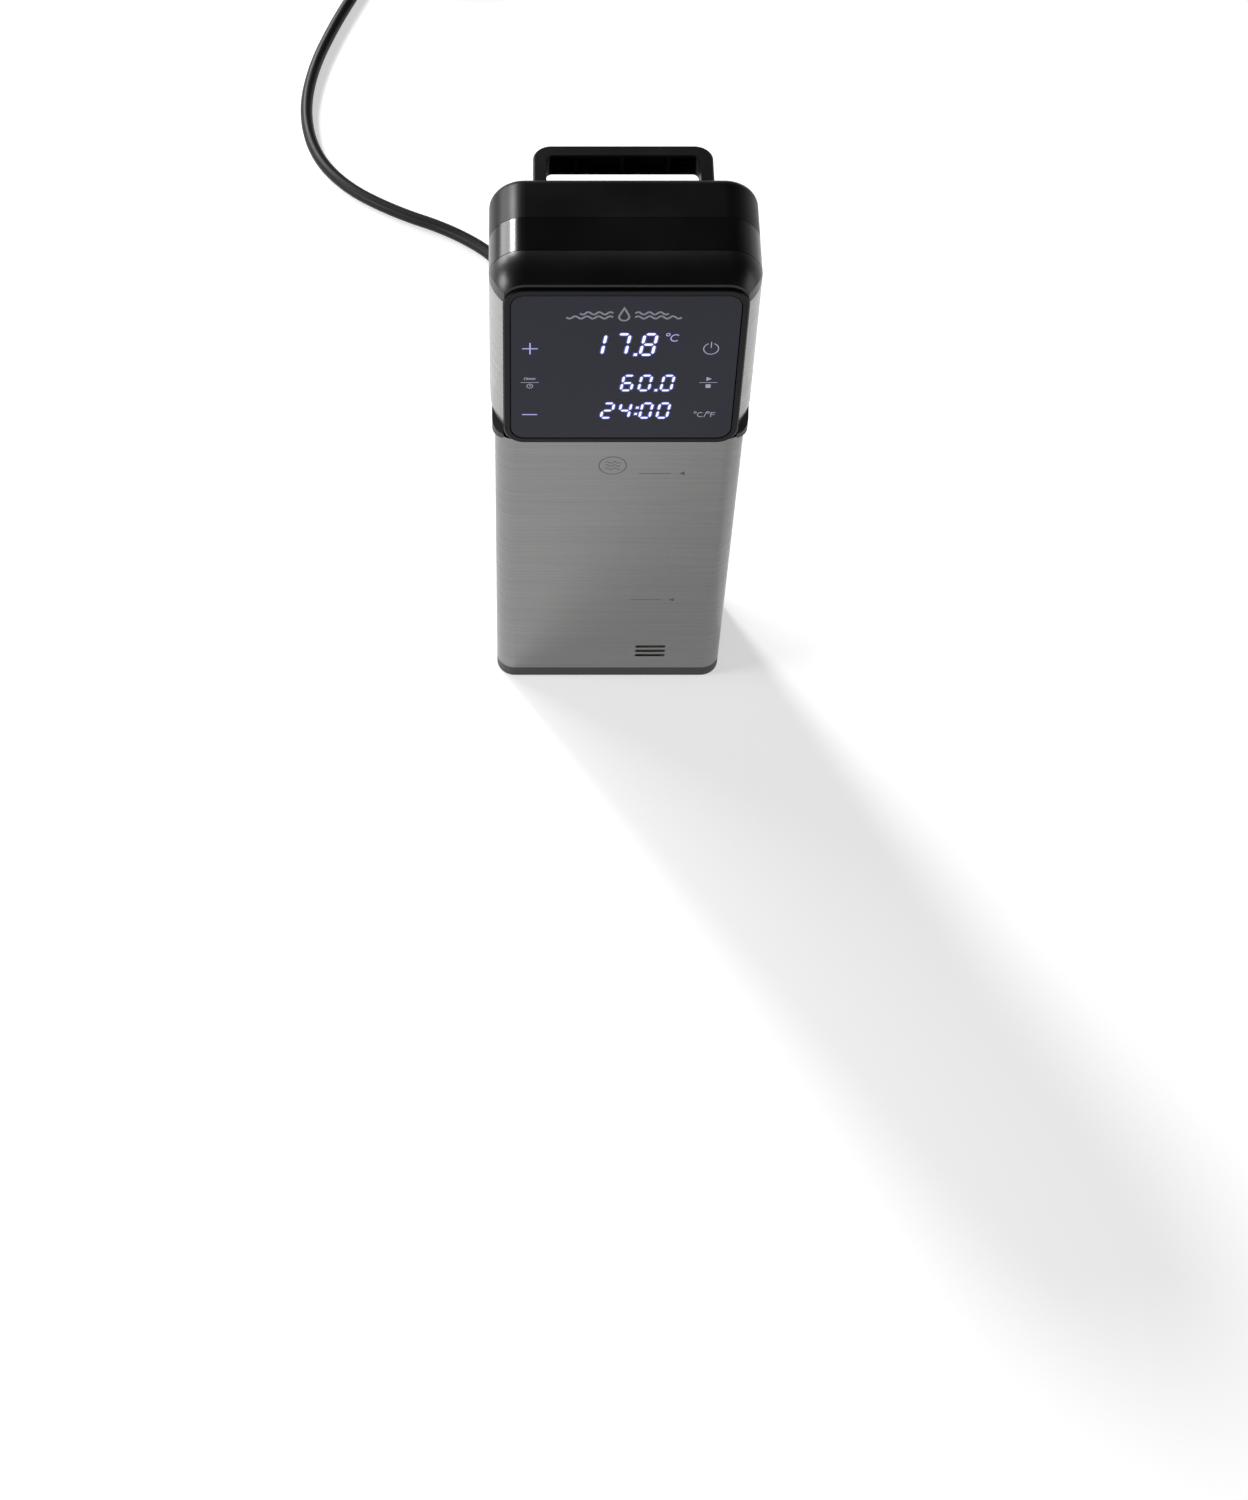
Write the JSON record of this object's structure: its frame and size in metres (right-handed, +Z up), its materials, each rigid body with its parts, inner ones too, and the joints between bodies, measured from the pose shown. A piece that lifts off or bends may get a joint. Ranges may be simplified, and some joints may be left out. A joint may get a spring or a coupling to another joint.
{
  "type": "immersion circulator",
  "caption": "Clamp-on immersion circulator: steel skirt with pump and heater, leaning touch panel head, rear carrying loop, rim clamp with hand knob, mains lead.",
  "frame": {"origin": "centre of the flat underside of the foot", "axes": "+Z up the skirt, +X to the right of the user facing the panel, +Y to the back, where the clamp and handle are"},
  "size_m": [0.2476, 0.6538, 0.305],
  "materials": {
    "gloss_black": "moulded, satin gloss",
    "black_plastic": "moulded, satin",
    "collar_plastic": "moulded, fine matt grain",
    "bezel_plastic": "moulded, satin",
    "panel_glass": "tinted, back-printed, polished",
    "brushed_steel": "fine horizontal brushing",
    "bright_steel": "bright drawn stainless",
    "zinc_fasteners": "bright zinc plate",
    "black_rubber": "matt",
    "cord_rubber": "satin jacket",
    "circuit_board": "green solder mask",
    "led_plastic": "dark grey face",
    "component_plastic": "moulded",
    "aluminium_fins": "extruded",
    "brass_parts": "turned, bright",
    "motor_iron": "laminated, varnished",
    "copper_winding": "enamelled copper",
    "pump_plastic": "natural engineering plastic"
  },
  "bodies": {
    "root": {"bezel_frame": "bezel_plastic", "board_bracket": "bright_steel", "board_components": "component_plastic", "buzzer": "component_plastic", "cable_gland": "black_plastic", "carry_handle": "black_plastic", "chassis_gasket": "black_rubber", "chassis_plate": "bright_steel", "clamp_bolts": "zinc_fasteners", "clamp_bracket": "bright_steel", "cord_coil": "cord_rubber", "cord_tail": "cord_rubber", "cord_tie": "black_rubber", "display_board": "circuit_board", "foot": "collar_plastic", "front_visor": "black_plastic", "gland_nut": "black_plastic", "head_collar": "collar_plastic", "heat_sink": "aluminium_fins", "heater_brace": "bright_steel", "heater_bushings": "brass_parts", "heater_hairpins": "bright_steel", "heater_terminals": "brass_parts", "led_modules": "led_plastic", "level_rod": "bright_steel", "motor_bearings": "bright_steel", "motor_housing": "bright_steel", "motor_mount": "bright_steel", "motor_stator": "motor_iron", "motor_windings": "copper_winding", "plug_body": "cord_rubber", "plug_pins": "brass_parts", "power_board": "circuit_board", "power_cord": "cord_rubber", "pump_column": "bright_steel", "pump_housing": "pump_plastic", "rear_cover": "black_plastic", "rim_rubber": "black_rubber", "shaft_bushes": "pump_plastic", "shaft_seal": "black_rubber", "side_panel_left": "brushed_steel", "side_panel_right": "brushed_steel", "small_screws": "zinc_fasteners", "steel_skirt": "brushed_steel", "strain_relief": "black_rubber", "temp_probe": "bright_steel", "terminal_block": "component_plastic", "top_cover": "gloss_black", "touch_glass": "panel_glass", "touch_springs": "zinc_fasteners"},
    "rotor": {"motor_shaft": "bright_steel", "motor_rotor": "motor_iron", "cooling_fan": "black_plastic", "impeller": "pump_plastic"},
    "level_float": {"level_float": "pump_plastic"},
    "intake_cover": {"intake_cover": "collar_plastic"},
    "clamp_jaw": {"clamp_pad": "black_plastic", "pad_rubber": "black_rubber"},
    "clamp_spindle": {"clamp_screw": "zinc_fasteners", "clamp_knob": "black_plastic"}
  },
  "joints": [
    {"name": "pump_spin", "type": "hinge", "parent": "root", "child": "rotor", "pos_m": [0.022, 0.003, 0.2], "axis": [0, 0, 1], "continuous": true},
    {"name": "float_rise", "type": "slide", "parent": "root", "child": "level_float", "axis": [0, 0, 1], "range_m": [0, 0.012]},
    {"name": "cover_twist", "type": "hinge", "parent": "root", "child": "intake_cover", "pos_m": [0.022, 0.003, 0.004], "axis": [0, 0, 1], "range_deg": [0, 30]},
    {"name": "jaw_slide", "type": "slide", "parent": "root", "child": "clamp_jaw", "axis": [0, -1, 0], "range_m": [-0.0086, 0.0116]},
    {"name": "knob_turn", "type": "hinge", "parent": "clamp_jaw", "child": "clamp_spindle", "pos_m": [0, 0.06, 0.165], "axis": [0, -1, 0], "range_deg": [-1224, 1656]}
  ],
  "couplings": [
    {"joint": "jaw_slide", "follows": "knob_turn", "m_per_rad": 0.00039789}
  ]
}
